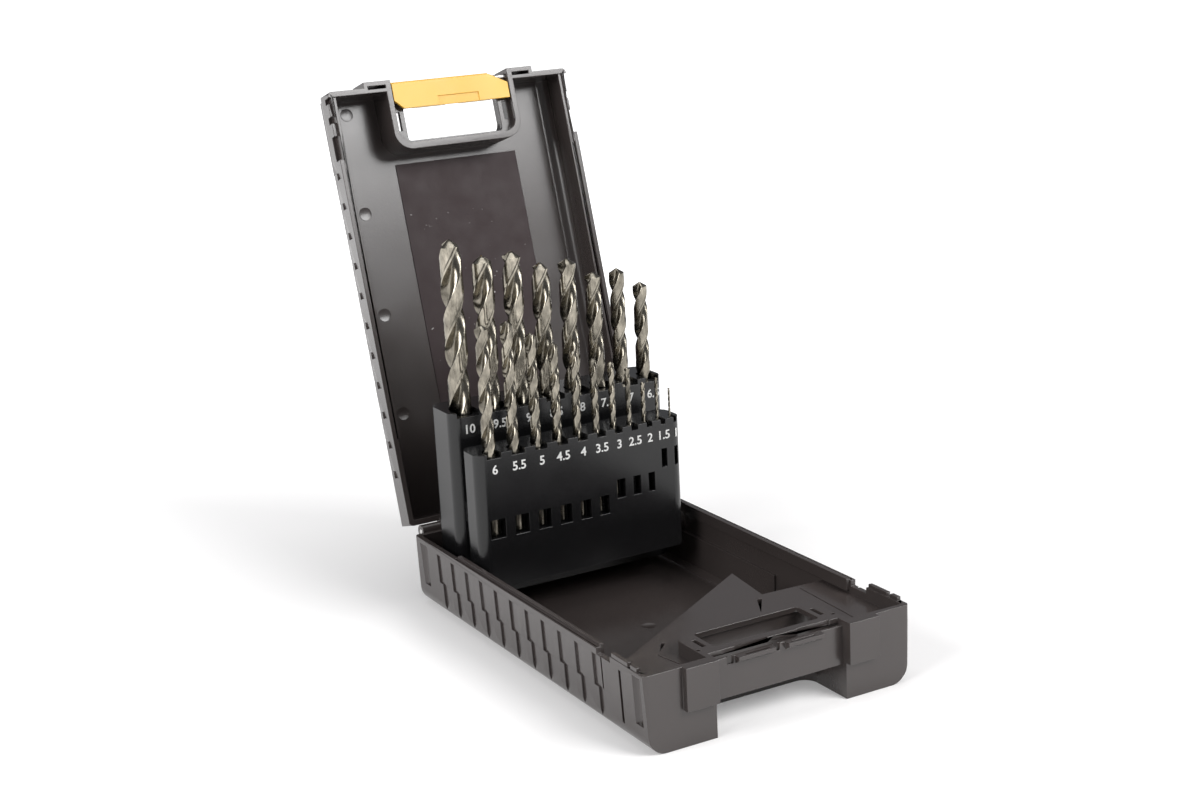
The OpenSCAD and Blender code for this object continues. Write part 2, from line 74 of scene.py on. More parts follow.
MM = 0.001
MIDDLE = 100  # millimetres from the front wall to the middle
DEPTH = 200 * MM  # front wall to back wall
RIM = 0.0325  # ground to the plane where the closed rims meet
FLOOR = 0.0022  # thickness of the tray's floor
HINGE = Vector((0, 103.25 * MM, 32.1 * MM))
OPEN_ANGLE = radians(106.5)
LID_INNER = 17 * MM  # from the lid's rim to its inner face
BOTH_SIDES = (1, -1)
REAR_SIZES = [10, 9.5, 9, 8.5, 8, 7.5, 7, 6.5]
FRONT_SIZES = [6, 5.5, 5, 4.5, 4, 3.5, 3, 2.5, 2, 1.5, 1]

SHARP = radians(30)  # edges that turn more than this are rounded
MERGE = 3e-6  # corners closer than this become one
SHORT = 2e-6  # edges shorter than this go
ON_PLANE = 1e-6  # corners closer than this to a splitting plane lie on it
FLAT = radians(0.4)  # faces that turn less than this become one
SHEET_EDGE = 0.00012  # rounding of the lid's sheet
PIN_EDGE = 0.0002  # rounding of the pins' ends


# ---- Settings ----


class CaseSizes(bpy.types.PropertyGroup):
    edge_round: FloatProperty(
        name="Edge Rounding", description="Rounding of the mouldings' edges", default=0.0002,
        min=0, max=0.001, precision=5, subtype="DISTANCE", unit="LENGTH")
    figure_height: FloatProperty(
        name="Figure Height", description="Height of the size figures on the racks",
        default=0.0039, min=0.002, max=0.006, precision=4, subtype="DISTANCE", unit="LENGTH")
    figure_relief: FloatProperty(
        name="Figure Relief", description="How far the figures stand proud", default=0.00015,
        min=0.00005, max=0.0005, precision=5, subtype="DISTANCE", unit="LENGTH")
    mark_radius: FloatProperty(
        name="Mark Radius", description="Radius of the round ejector marks", default=0.003,
        min=0.001, max=0.006, precision=4, subtype="DISTANCE", unit="LENGTH")
    flute_lead: FloatProperty(
        name="Flute Lead", description="Lead of the flutes as a number of diameters", default=5.44,
        min=4, max=8)
    web_share: FloatProperty(
        name="Web", description="Half thickness of the web as a share of the radius", default=0.27,
        min=0.15, max=0.4, subtype="FACTOR")
    point_angle: FloatProperty(
        name="Point Angle", description="Included angle of the drill points", default=radians(118),
        min=radians(90), max=radians(140), subtype="ANGLE", unit="ROTATION")
    turn_steps: IntProperty(
        name="Steps per Turn", description="Slices in one turn of a flute", default=40,
        min=12, max=90)


class CaseColours(bpy.types.PropertyGroup):
    shell: FloatVectorProperty(
        name="Shell", description="Colour of the tray and the lid", default=(0.044, 0.036, 0.034),
        subtype="COLOR", size=3, min=0, max=1)
    rack: FloatVectorProperty(
        name="Rack", description="Colour of the drill racks", default=(0.006, 0.006, 0.0065),
        subtype="COLOR", size=3, min=0, max=1)
    latch: FloatVectorProperty(
        name="Latch", description="Colour of the latch", default=(0.77, 0.45, 0.065),
        subtype="COLOR", size=3, min=0, max=1)
    panel: FloatVectorProperty(
        name="Panel", description="Colour of the dark sheet in the lid",
        default=(0.030, 0.018, 0.019), subtype="COLOR", size=3, min=0, max=1)
    steel: FloatVectorProperty(
        name="Steel", description="Colour of the drills", default=(0.25, 0.23, 0.19),
        subtype="COLOR", size=3, min=0, max=1)
    figures: FloatVectorProperty(
        name="Figures", description="Colour of the size figures", default=(0.80, 0.80, 0.78),
        subtype="COLOR", size=3, min=0, max=1)
    floor: FloatVectorProperty(
        name="Floor", description="Colour of the floor", default=(0.84, 0.83, 0.825),
        subtype="COLOR", size=3, min=0, max=1)


# ---- Materials ----

PIN_COLOUR = (0.62, 0.61, 0.6)
DUST_COLOUR = (0.42, 0.40, 0.39)
GRAIN = 0.000016  # depth of the mouldings' grain


class NodeBench:
    """Short names for adding nodes to one material."""

    def __init__(self, name):
        self.material = bpy.data.materials.new(name)
        self.material.use_nodes = True
        self.tree = self.material.node_tree
        self.shader = self.tree.nodes["Principled BSDF"]

    def node(self, kind, inputs=None, **settings):
        node = self.tree.nodes.new(kind)
        for key, value in settings.items():
            setattr(node, key, value)
        for key, value in (inputs or {}).items():
            if isinstance(value, bpy.types.NodeSocket):
                self.tree.links.new(value, node.inputs[key])
            else:
                node.inputs[key].default_value = value
        return node

    def place(self, scale=(1, 1, 1)):
        place = self.node("ShaderNodeTexCoord").outputs["Object"]
        return self.node("ShaderNodeMapping", {"Vector": place, "Scale": scale}).outputs["Vector"]

    def noise(self, scale, detail=3, stretch=(1, 1, 1), roughness=0.55):
        inputs = {"Vector": self.place(stretch), "Scale": scale, "Detail": detail,
                  "Roughness": roughness}
        return self.node("ShaderNodeTexNoise", inputs).outputs["Fac"]

    def span(self, value, low, high, start=0.3, end=0.7):
        """Maps a value from start..end to low..high."""
        inputs = {"Value": value, "From Min": start, "From Max": end, "To Min": low,
                  "To Max": high}
        return self.node("ShaderNodeMapRange", inputs).outputs["Result"]

    def math(self, operation, first, second):
        inputs = {0: first, 1: second}
        return self.node("ShaderNodeMath", inputs, operation=operation).outputs[0]

    def mix(self, factor, first, second):
        node = self.node("ShaderNodeMix", {"Factor": factor}, data_type="RGBA")
        for socket, colour in ((node.inputs[6], first), (node.inputs[7], second)):
            if isinstance(colour, bpy.types.NodeSocket):
                self.tree.links.new(colour, socket)
            else:
                socket.default_value = (*colour, 1)
        return node.outputs[2]

    def bump(self, *layers):
        """Each layer is a height and how deep it goes, in metres."""
        normal = None
        for height, depth in layers:
            inputs = {"Height": height, "Distance": depth, "Strength": 1}
            if normal:
                inputs["Normal"] = normal
            normal = self.node("ShaderNodeBump", inputs).outputs["Normal"]
        return normal

    def finish(self, **sockets):
        """Sets the shader's sockets, named with underscores, and gives the material."""
        for key, value in sockets.items():
            socket = self.shader.inputs[key.replace("_", " ")]
            if isinstance(value, bpy.types.NodeSocket):
                self.tree.links.new(value, socket)
            elif isinstance(value, tuple):
                socket.default_value = (*value, 1)
            else:
                socket.default_value = value
        return self.material


def tint(colour, factor):
    """The colour, darker or lighter."""
    return tuple(min(1, c * factor) for c in colour)


def moulded_plastic(name, colour, rough=(0.36, 0.5), grain=GRAIN, level=0.5):
    """Satin moulding with a fine grain, faint flow streaks and light scuffs."""
    bench = NodeBench(name)
    cloud = bench.noise(22, 2)
    streak = bench.noise(60, 2, (1, 0.12, 1))
    fine = bench.noise(900, 2)
    scuff = bench.noise(700, 3, (1, 0.25, 1), 0.7)
    base = bench.mix(cloud, tint(colour, 0.86), tint(colour, 1.14))
    base = bench.mix(bench.span(scuff, 0, 0.3, 0.68, 0.9), base, tint(colour, 2.2))
    gloss = bench.span(streak, rough[0], rough[1], 0.2, 0.8)
    return bench.finish(
        Base_Color=base, Roughness=gloss, IOR=1.5, Specular_IOR_Level=level,
        Normal=bench.bump((fine, grain)))


def polished_steel(name, colour, rough=(0.14, 0.3), lines=(1, 1, 0.3)):
    """Ground steel with fine grinding lines, and patches that are partly staining, partly painted
    highlights and dark reflection streaks.
    """
    bench = NodeBench(name)
    ground = bench.noise(1400, 3, lines)
    stain_and_glint = bench.noise(230, 4, (1, 1, 0.5))
    # Painted highlights and dark reflection streaks mixed with staining: the colour runs from 1.5
    # to 0.55 times the steel's
    base = bench.mix(bench.span(stain_and_glint, 0, 1, 0.35, 0.68), tint(colour, 1.5), tint(colour, 0.55))
    base = bench.mix(bench.span(ground, 0, 0.5, 0.4, 0.65), base, tint(colour, 0.5))
    return bench.finish(
        Base_Color=base, Metallic=1.0, Roughness=bench.span(stain_and_glint, rough[0], rough[1]),
        Normal=bench.bump((ground, 0.00001), (stain_and_glint, 0.00006)))


def matt_sheet(name, colour):
    """Smooth dark sheet with specks of dust."""
    bench = NodeBench(name)
    dust = bench.noise(520, 2, roughness=0.4)
    patch = bench.noise(45, 2)
    spots = bench.math("MULTIPLY", bench.span(dust, 0, 1, 0.735, 0.775),
                       bench.span(patch, 0, 1, 0.5, 0.62))
    base = bench.mix(spots, colour, DUST_COLOUR)
    return bench.finish(
        Base_Color=base, Roughness=bench.span(bench.noise(90, 3), 0.5, 0.62),
        Specular_IOR_Level=0.3, Normal=bench.bump((bench.noise(900, 2), 0.00002)))


def printed_figures(name, colour):
    """Light paint, worn in fine spots."""
    bench = NodeBench(name)
    wear = bench.noise(1500, 3)
    base = bench.mix(bench.span(wear, 0, 1, 0.35, 0.5), tint(colour, 0.72), colour)
    return bench.finish(Base_Color=base, Roughness=bench.span(wear, 0.45, 0.6))


MATERIALS = {}


def material(kind):
    """Makes each finish once, from the scene's colours."""
    if kind not in MATERIALS:
        colours = bpy.context.scene.drill_case_colours
        shell = tuple(colours.shell)
        recipes = {
            "tray": (moulded_plastic, "tray_plastic", shell, (0.18, 0.28), GRAIN, 0.75),
            "lid": (moulded_plastic, "lid_plastic", shell, (0.19, 0.26), GRAIN, 0.6),
            "rack": (moulded_plastic, "rack_plastic", tuple(colours.rack), (0.2, 0.28), GRAIN / 2),
            "latch": (moulded_plastic, "latch_plastic", tuple(colours.latch), (0.34, 0.46)),
            "mark": (moulded_plastic, "mark_plastic", tint(shell, 0.72), (0.5, 0.62)),
            "panel": (matt_sheet, "panel_sheet", tuple(colours.panel)),
            "drill": (polished_steel, "drill_steel", tuple(colours.steel)),
            "pin": (polished_steel, "pin_steel", PIN_COLOUR, (0.25, 0.4)),
            "figures": (printed_figures, "figure_paint", tuple(colours.figures)),
        }
        maker, *settings = recipes[kind]
        MATERIALS[kind] = maker(*settings)
    return MATERIALS[kind]


# ---- Mesh helpers ----


def new_piece(name, bm, body, kind, smooth_angle=radians(32), recalc=False):
    """Turns a bmesh into an object of one finish that rides on a body."""
    if recalc:
        bmesh.ops.recalc_face_normals(bm, faces=bm.faces)
    for face in bm.faces:
        face.smooth = True
    for edge in bm.edges:
        edge.smooth = len(edge.link_faces) == 2 and edge.calc_face_angle(0) < smooth_angle
    mesh = bpy.data.meshes.new(name)
    bm.to_mesh(mesh)
    bm.free()
    piece = bpy.data.objects.new(name, mesh)
    bpy.context.scene.collection.objects.link(piece)
    mesh.materials.append(material(kind))
    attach(piece, body)
    return piece


def rounded(bm, width):
    """Rounds the sharp edges, and draws corners that this throws out back to the surface."""
    surface = BVHTree.FromBMesh(bm)
    sharp = [e for e in bm.edges if len(e.link_faces) == 2 and e.calc_face_angle(0) > SHARP]
    bmesh.ops.bevel(bm, geom=sharp, offset=width, offset_type="OFFSET", affect="EDGES", segments=2,
                    profile=0.5, material=-1, clamp_overlap=False, loop_slide=True)
    deepest, proudest = 0.6 * width, 0.02 * width
    for vert in bm.verts:
        place, normal, _, distance = surface.find_nearest(vert.co)
        outside = (vert.co - place).dot(normal) > 0
        if distance > deepest or (outside and distance > proudest):
            vert.co = place
    bmesh.ops.dissolve_degenerate(bm, edges=bm.edges, dist=SHORT)


def blocks(spans, sides=(1,)):
    """Boxes from spans along x, y and z in millimetres, with y counted from the front wall."""
    bm = bmesh.new()
    for side in sides:
        for x0, x1, y0, y1, z0, z1 in spans:
            centre = Vector((side * (x0 + x1) / 2, (y0 + y1) / 2 - MIDDLE, (z0 + z1) / 2)) * MM
            size = Matrix.Diagonal(((x1 - x0) * MM, (y1 - y0) * MM, (z1 - z0) * MM, 1))
            bmesh.ops.create_cube(bm, size=1, matrix=Matrix.Translation(centre) @ size)
    return bm


def studs(bm, places, radius, z0, z1, sides=(1,)):
    """Adds upright cylinders in millimetres."""
    for side in sides:
        for x, y in places:
            place = Matrix.Translation(Vector((side * x, y - MIDDLE, (z0 + z1) / 2)) * MM)
            bmesh.ops.create_cone(bm, cap_ends=True, segments=32, radius1=radius * MM,
                                  radius2=radius * MM, depth=(z1 - z0) * MM, matrix=place)


def wedge(bm, corners, z0, z1):
    """Adds an upright prism over corners in millimetres."""
    face = bm.faces.new([bm.verts.new(Vector((x, y - MIDDLE, z0)) * MM) for x, y in corners])
    made = bmesh.ops.extrude_face_region(bm, geom=[face], use_keep_orig=True)["geom"]
    top = [v for v in made if isinstance(v, bmesh.types.BMVert)]
    bmesh.ops.translate(bm, verts=top, vec=(0, 0, (z1 - z0) * MM))
    bmesh.ops.recalc_face_normals(bm, faces=bm.faces)


def evaluated_mesh(item):
    """The mesh that an object's modifiers or its text give."""
    depsgraph = bpy.context.evaluated_depsgraph_get()
    return bpy.data.meshes.new_from_object(item.evaluated_get(depsgraph))


def reshaped(bm, changes):
    """Joins or cuts other meshes, in order."""
    shelf = bpy.context.scene.collection.objects
    made = []

    def holder(part):
        """A work object that takes the bmesh over."""
        mesh = bpy.data.meshes.new("work")
        part.to_mesh(mesh)
        part.free()
        made.append(bpy.data.objects.new("work", mesh))
        shelf.link(made[-1])
        return made[-1]

    whole = holder(bm)
    for operation, part in changes:
        change = whole.modifiers.new(operation.lower(), "BOOLEAN")
        change.operation = operation
        change.solver = "EXACT"
        change.use_self = True
        change.object = holder(part)
    bpy.context.view_layer.update()
    mesh = evaluated_mesh(whole)
    result = bmesh.new()
    result.from_mesh(mesh)
    for item in made:
        bpy.data.meshes.remove(item.data)
    bpy.data.meshes.remove(mesh)
    return result


def merged(bm):
    """Closes the seams between loose triangles."""
    bmesh.ops.remove_doubles(bm, verts=bm.verts, dist=MERGE)
    bmesh.ops.dissolve_degenerate(bm, edges=bm.edges, dist=SHORT)


def split(bm, planes):
    """Cuts faces that run round an opening, so that each fills cleanly."""
    for point, normal in planes:
        geom = bm.verts[:] + bm.edges[:] + bm.faces[:]
        bmesh.ops.bisect_plane(bm, geom=geom, dist=ON_PLANE, plane_co=point, plane_no=normal)


def dressed_node(node, name, body, kind, width, changes=(), planes=()):
    """A copy of a CAD node with its loose triangles merged and its edges rounded."""
    bm = bmesh.new()
    bm.from_mesh(frame["nodes"][node].data)
    merged(bm)
    if changes:
        bm = reshaped(bm, changes)
        merged(bm)
    bmesh.ops.dissolve_limit(bm, angle_limit=FLAT, verts=bm.verts, edges=bm.edges)
    split(bm, planes)
    if width:
        rounded(bm, width)
    piece = new_piece(name, bm, body, kind, radians(50))
    even = piece.modifiers.new("even shading", "WEIGHTED_NORMAL")
    even.keep_sharp = True
    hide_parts(node)
    return piece


def joined(bm, part, place=Matrix()):
    """Adds a part, moved to its place, to a bmesh."""
    bmesh.ops.transform(part, matrix=place, verts=part.verts)
    mesh = bpy.data.meshes.new("part")
    part.to_mesh(mesh)
    part.free()
    bm.from_mesh(mesh)
    bpy.data.meshes.remove(mesh)


def opened(place):
    """Turns a place in the closed lid to the open lid."""
    turn = Matrix.Rotation(-OPEN_ANGLE, 4, "X")
    return Matrix.Translation(HINGE) @ turn @ Matrix.Translation(-HINGE) @ place


def lid_place(x, y, depth):
    """Place on the lid's inside, y from its front and depth from its rim, its Z pointing out."""
    closed = Matrix.Translation((x, y - DEPTH / 2, RIM + depth)) @ Matrix.Rotation(pi, 4, "Y")
    return opened(closed)


# ---- Pieces ----


class CASE_OT_shells(bpy.types.Operator):
    """Make the tray and the lid"""

    bl_idname = "drill_case.shells"
    bl_label = "Tray and Lid"

    # Where long faces are split, in millimetres from the middle and from the front wall
    SPLITS_X = (-28, 0, 28)
    SPLITS_Y = (17, 100)

    RIM_LENGTH = (36, 160)  # both ends of the tongue, its groove and the walls beside them
    CREASE = 0.16  # half the width of a crease

    def execute(self, context):
        width = context.scene.drill_case_sizes.edge_round
        across, along = Vector((1, 0, 0)), Vector((0, 1, 0))
        up_the_lid = opened(Matrix()).to_3x3() @ along
        tray_planes = [(Vector((x * MM, 0, 0)), across) for x in self.SPLITS_X]
        lid_planes = list(tray_planes)
        tray_planes += [(Vector((0, (y - MIDDLE) * MM, 0)), along) for y in self.SPLITS_Y]
        lid_planes += [(lid_place(0, y * MM, 0).translation, up_the_lid) for y in self.SPLITS_Y]
        tray = dressed_node("base_shell", "tray", "base", "tray", width,
                            self.tray_changes(), tray_planes)
        lid = dressed_node("lid_shell", "lid", "lid", "lid", width,
                           self.lid_changes(), lid_planes)
        return {"FINISHED"}

    def tray_changes(self):
        """Tongue, teeth and ledge to add, and the fine cuts of rim, deck and handle."""
        tongue = (57.4, 59.3, *self.RIM_LENGTH, 28, 33.2)
        teeth = [(59.45, 61.3, y0, y1, 32.2, 34.2) for y0, y1 in ((5.4, 10), (12, 24))]
        ledge = (57.1, 58.6, 88, 190, 5, 19.5)
        added = blocks([tongue, *teeth, ledge], BOTH_SIDES)
        rim_dip = (56.4, 62.5, 25, 35.2, 30, 34)
        catch_slot = (5, 16, 0.4, 1.3, 29.1, 31.3)
        strip_steps = [(x0, x1, 4, 5.9, 30.6, 34) for x0, x1 in ((-18, -3), (11, 26))]
        cut = blocks([rim_dip], BOTH_SIDES)
        joined(cut, blocks([catch_slot], BOTH_SIDES))
        joined(cut, blocks(strip_steps))
        # Round notches in the bar, holes beside the window and flutes at the back corners
        studs(cut, [(-22, 2.2), (-1, 2.2)], 1.5, 27.3, 33)
        studs(cut, [(31.4, 10)], 0.8, 28.5, 34, BOTH_SIDES)
        studs(cut, [(64, 191)], 4.5, 11, 30, BOTH_SIDES)
        # Three-cornered slits through the deck, then its two creases
        wedge(cut, [(24.3, 52.6), (17.5, 39.7), (26.2, 51.9)], 22, 31)
        wedge(cut, [(-32.1, 36), (-36.7, 29.3), (-30.7, 35.2)], 22, 31)
        for start, end in (((-39.4, 26.4), (-36.2, 8.4)), ((45.7, 52.3), (43.6, 12))):
            across = Vector((end[1] - start[1], start[0] - end[0])).normalized() * self.CREASE
            a, b = Vector(start), Vector(end)
            wedge(cut, [a + across, a - across, b - across, b + across], 26.7, 28)
        return [("UNION", added), ("DIFFERENCE", cut)]

    def lid_changes(self):
        """Inner walls beside the long rims, and room for the tray's tongue and teeth."""
        walls = [(57.4, 58.5, *self.RIM_LENGTH, 33.4, 48.8), (57.4, 59.4, 2, 36, 33.4, 48.8)]
        channel = (57, 59.5, 35.5, 160.5, 31.5, 33.4)
        groove = (58.55, 59.3, *self.RIM_LENGTH, 32, 42)
        tooth_gaps = ((2.5, 31, 34.5), (2.5, 5, 38.5), (11, 14, 38.5), (20, 31, 38.5))
        teeth = [(59.3, 62.5, y0, y1, 31.5, z1) for y0, y1, z1 in tooth_gaps]
        changes = []
        for operation, part in (("UNION", blocks(walls, BOTH_SIDES)),
                                ("DIFFERENCE", blocks([channel, groove, *teeth], BOTH_SIDES))):
            bmesh.ops.transform(part, matrix=opened(Matrix()), verts=part.verts)
            changes.append((operation, part))
        return changes


class CASE_OT_panel(bpy.types.Operator):
    """Make the dark sheet in the lid"""

    bl_idname = "drill_case.panel"
    bl_label = "Lid Sheet"

    def execute(self, context):
        panel = dressed_node("lid_panel", "panel", "lid", "panel", SHEET_EDGE)
        return {"FINISHED"}


class CASE_OT_marks(bpy.types.Operator):
    """Make the round ejector marks in the lid and on the tray's floor"""

    bl_idname = "drill_case.marks"
    bl_label = "Ejector Marks"

    # Millimetres from the middle and from the lid's front
    LEFT_SPOTS = [(-47.3, 8.5), (-47.3, 55), (-47.3, 102.6), (-47.3, 149)]
    RIGHT_SPOTS = [(54, 8.4), (54, 56)]
    FLOOR_SPOT = (0.005, 0.008, FLOOR)
    RAISED = 0.00012
    SUNK = 0.00008  # from the raised rim to the disc inside it
    RIM_SHARE = 0.1  # width of the raised rim as a share of the radius

    def execute(self, context):
        left, right = ([lid_place(x * MM, y * MM, LID_INNER) for x, y in spots]
                       for spots in (self.LEFT_SPOTS, self.RIGHT_SPOTS))
        on_floor = [Matrix.Translation(self.FLOOR_SPOT)]
        for name, places, body, kind in (("lid_marks_left", left, "lid", "lid"),
                                         ("lid_marks_right", right, "lid", "mark"),
                                         ("floor_mark", on_floor, "base", "tray")):
            bm = bmesh.new()
            for place in places:
                self.ring(bm, context.scene.drill_case_sizes.mark_radius, place)
            new_piece(name, bm, body, kind)
        return {"FINISHED"}

    def ring(self, bm, radius, place):
        """A flat disc with a fine raised rim."""
        part = bmesh.new()
        bmesh.ops.create_circle(part, cap_ends=True, segments=40, radius=radius)
        raised = bmesh.ops.extrude_face_region(part, geom=part.faces[:])["geom"]
        top = [v for v in raised if isinstance(v, bmesh.types.BMVert)]
        bmesh.ops.translate(part, verts=top, vec=(0, 0, self.RAISED))
        cap = [f for f in raised if isinstance(f, bmesh.types.BMFace)]
        bmesh.ops.inset_region(part, faces=cap, thickness=radius * self.RIM_SHARE, depth=0)
        bmesh.ops.translate(part, verts=list(cap[0].verts), vec=(0, 0, -self.SUNK))
        bmesh.ops.recalc_face_normals(part, faces=part.faces)
        joined(bm, part, place)


class CASE_OT_racks(bpy.types.Operator):
    """Make the racks, the clips that join them and the link that lifts them"""

    bl_idname = "drill_case.racks"
    bl_label = "Racks"

    def execute(self, context):
        width = context.scene.drill_case_sizes.edge_round
        for node, name in (("front_rack", "rack_front"), ("rear_rack", "rack_rear"),
                           ("rack_clips", "rack_clip_pair")):
            rack = dressed_node(node, name, "racks", "rack", width)
        link = dressed_node("lift_link", "link", "lift_link", "rack", width)
        return {"FINISHED"}


class CASE_OT_figures(bpy.types.Operator):
    """Make the size figures on the racks"""

    bl_idname = "drill_case.figures"
    bl_label = "Size Figures"

    FRONT_HEIGHT = 0.0715  # ground to the foot of the figures
    REAR_HEIGHT = 0.0845
    REAR_FACE = 0.0685  # front face of the rear rack, above its foot
    END_GAP = 0.0026  # least distance from a figure's middle to the rack's right end
    CAPITAL = 0.7  # height of a figure as a share of the font's size
    BOLD = 0.02  # how much the strokes grow, as a share of the figures' height

    def execute(self, context):
        sizes = context.scene.drill_case_sizes
        low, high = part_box("front_rack")
        self.row("front_figures", FRONT_SIZES, high.x, low.y, self.FRONT_HEIGHT, sizes)
        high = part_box("rear_rack")[1]
        self.row("rear_figures", REAR_SIZES, high.x, self.REAR_FACE, self.REAR_HEIGHT, sizes)
        return {"FINISHED"}

    def row(self, name, drill_sizes, right_end, y, z, sizes):
        """One figure in front of each drill of a rack."""
        bm = bmesh.new()
        for size in drill_sizes:
            x = min(drill_axis(size).x, right_end - self.END_GAP)
            self.figure(bm, "%g" % size, Vector((x, y, z)), sizes)
        new_piece(name, bm, "racks", "figures", radians(60))

    def figure(self, bm, text, place, sizes):
        """Adds a text that stands proud of the rack's front."""
        curve = bpy.data.curves.new("figure", "FONT")
        curve.body = text
        curve.align_x = "CENTER"
        curve.size = sizes.figure_height / self.CAPITAL
        curve.extrude = sizes.figure_relief / 2
        curve.offset = sizes.figure_height * self.BOLD
        curve.resolution_u = 3
        holder = bpy.data.objects.new("figure", curve)
        bpy.context.scene.collection.objects.link(holder)
        bpy.context.view_layer.update()
        mesh = evaluated_mesh(holder)
        bpy.data.objects.remove(holder)
        stand = Matrix.Translation(place) @ Matrix.Rotation(pi / 2, 4, "X")
        mesh.transform(stand @ Matrix.Translation((0, 0, sizes.figure_relief / 2)))
        bm.from_mesh(mesh)
        bpy.data.meshes.remove(mesh)


class CASE_OT_latch(bpy.types.Operator):
    """Make the latch"""

    bl_idname = "drill_case.latch"
    bl_label = "Latch"

    def execute(self, context):
        width = context.scene.drill_case_sizes.edge_round
        latch = dressed_node("latch", "latch_flap", "latch", "latch", width)
        return {"FINISHED"}


class CASE_OT_pins(bpy.types.Operator):
    """Make the pins, the rod and the studs"""

    bl_idname = "drill_case.pins"
    bl_label = "Pins and Rod"

    def execute(self, context):
        rides = {"hinge_pin": "base", "rack_rod": "base", "latch_pin": "lid", "lid_stud": "lid",
                 "rack_stud": "racks"}
        for node, body in rides.items():
            pin = dressed_node(node, node + "_steel", body, "pin", PIN_EDGE)
        return {"FINISHED"}


def drill_node(size):
    """Name of a drill's node and body."""
    return "drill_%s" % ("%.1f" % size).replace(".", "_")


def drill_axis(size):
    """Foot of a drill's axis, at the end of its shank."""
    low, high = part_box(drill_node(size))
    return Vector(((low.x + high.x) / 2, (low.y + high.y) / 2, low.z))


class CASE_OT_drills(bpy.types.Operator):
    """Make the twist drills"""

    bl_idname = "drill_case.drills"
    bl_label = "Twist Drills"

    # Overall and fluted length of a jobber drill by the largest size that has them
    LENGTHS = [(1, 34, 12), (1.5, 40, 18), (2, 49, 24), (2.5, 57, 30), (3, 61, 33),
               (3.5, 70, 39), (4, 75, 43), (4.5, 80, 47), (5, 86, 52), (6, 93, 57),
               (6.5, 101, 63), (7.5, 109, 69), (8.5, 117, 75), (9.5, 125, 81), (10, 133, 87)]
    # Height of the foot's chamfer, radius of the foot, length of the run-out and the rings
    # of the point, all as shares of the drill's radius
    CHAMFER = 0.3
    FOOT = 0.8
    RUNOUT = 1.2
    POINT_RINGS = (1, 0.7, 0.4, 0.1)
    RUNOUT_STEPS = 5
    LIP_ANGLE = 91  # degrees round the section
    RELIEF = 0.16  # fall of the point behind the lip, as a share of the reach

    def execute(self, context):
        sizes = context.scene.drill_case_sizes
        for size in REAR_SIZES + FRONT_SIZES:
            body = drill_node(size)
            bm = bmesh.new()
            self.drill(bm, size, sizes)
            bmesh.ops.translate(bm, verts=bm.verts, vec=drill_axis(size))
            piece = new_piece("bit_%s" % body[6:], bm, body, "drill", radians(38), recalc=True)
            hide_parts(body)
        return {"FINISHED"}

    def section(self, web):
        """Half of the fluted section as angle and share of the radius: land, lip and flute."""
        return [(0, 0.93), (4, 0.965), (20, 0.97), (36, 0.97), (52, 0.97), (68, 0.97), (76, 0.975),
                (79, 1.0), (85, 1.0), (91, 1.0), (93, 0.8), (96, 0.6), (103, web + 0.12),
                (114, web + 0.02), (128, web - 0.01), (142, web + 0.03), (154, web + 0.16),
                (163, 0.6), (170, 0.74), (176, 0.86)]

    def drill(self, bm, size, sizes):
        """Adds a drill that stands on its shank at the origin."""
        radius = size * MM / 2
        length, flute = next((a, b) for d, a, b in self.LENGTHS if size <= d)
        length, flute = length * MM, flute * MM
        slope = tan(sizes.point_angle / 2)
        shoulder = length - radius / slope
        lead = sizes.flute_lead * size * MM
        half = self.section(sizes.web_share)
        outline = half + [(a + 180, r) for a, r in half]
        start = length - flute
        # The round shank, chamfered at its foot
        made = bmesh.ops.create_circle(bm, cap_ends=True, segments=len(outline), radius=radius)
        ring = made["verts"]
        foot = self.FOOT * radius
        for vert, (angle, _) in zip(ring, outline):
            vert.co = (foot * cos(radians(angle)), foot * sin(radians(angle)), 0)
        face = ring[0].link_faces[0]
        levels = [(radius * self.CHAMFER, 0), (start * 0.5, 0), (start, 0)]
        # The flutes run out of the shank, then twist up to the shoulder
        steps = max(8, int((shoulder - start) / lead * sizes.turn_steps))
        runout = self.RUNOUT * radius
        levels += [(start + runout * k / self.RUNOUT_STEPS, k / self.RUNOUT_STEPS)
                   for k in range(1, self.RUNOUT_STEPS + 1)]
        levels += [(start + runout + (shoulder - start - runout) * k / steps, 1)
                   for k in range(1, steps)]
        for z, depth in levels:
            face, ring = self.grow(bm, face)
            for vert, (angle, share) in zip(ring, outline):
                turn = radians(angle) + 2 * pi * max(0, z - start) / lead
                reach = radius * (1 + (share - 1) * depth)
                vert.co = (reach * cos(turn), reach * sin(turn), z)
        # The cone-ground point: every corner of the section rises to the cone, less its relief
        for scale in self.POINT_RINGS:
            face, ring = self.grow(bm, face)
            for vert, (angle, share) in zip(ring, outline):
                reach = radius * share * scale
                back = ((self.LIP_ANGLE - angle) % 180) / 180
                z = shoulder + (radius - reach) / slope
                z -= self.RELIEF * reach * back
                turn = radians(angle) + 2 * pi * (z - start) / lead
                vert.co = (reach * cos(turn), reach * sin(turn), z)

    def grow(self, bm, face):
        """Extrudes the end face and gives the new one, with the corners above the old ones."""
        old = list(face.verts)
        made = bmesh.ops.extrude_face_region(bm, geom=[face])["geom"]
        top = next(g for g in made if isinstance(g, bmesh.types.BMFace))
        if face.is_valid:
            bmesh.ops.delete(bm, geom=[face], context="FACES_ONLY")
        above = {}
        for vert in top.verts:
            for edge in vert.link_edges:
                other = edge.other_vert(vert)
                if other in old:
                    above[other] = vert
        return top, [above[v] for v in old]


# ---- Stage ----


def lamp(name, place, target, size, power):
    """An area light at a place, turned to its target."""
    light = bpy.data.lights.new(name, "AREA")
    light.shape = "RECTANGLE"
    light.size, light.size_y = size
    light.energy = power
    holder = bpy.data.objects.new(name, light)
    holder.location = place
    aim = Vector(target) - Vector(place)
    holder.rotation_euler = aim.to_track_quat("-Z", "Y").to_euler()
    bpy.context.scene.collection.objects.link(holder)


